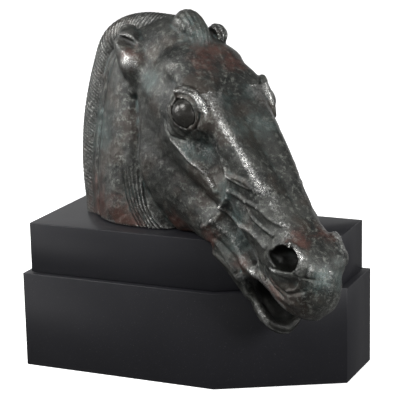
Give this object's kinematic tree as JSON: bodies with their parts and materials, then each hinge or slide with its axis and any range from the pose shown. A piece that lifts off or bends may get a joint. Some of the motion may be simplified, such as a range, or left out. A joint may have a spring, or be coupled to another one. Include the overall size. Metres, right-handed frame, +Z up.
{
  "type": "horse head sculpture",
  "caption": "Horse head and neck sculpture with laid-back ears and a clipped mane, its muzzle hanging over the cut corner of a two-tier plinth.",
  "frame": {"origin": "on the plinth's underside, midway along its length and midway across its depth", "axes": "+X along the plinth's long front face, to the right of someone who faces it; +Y from that face to the back; +Z up"},
  "size_m": [0.4077, 0.2349, 0.4216],
  "materials": {
    "bronze": "dark green-black patina with rubbed highlights",
    "plinth_paint": "black satin paint"
  },
  "bodies": {
    "root": {"horse_head": "bronze", "plinth_upper": "plinth_paint", "plinth_lower": "plinth_paint"}
  },
  "joints": []
}
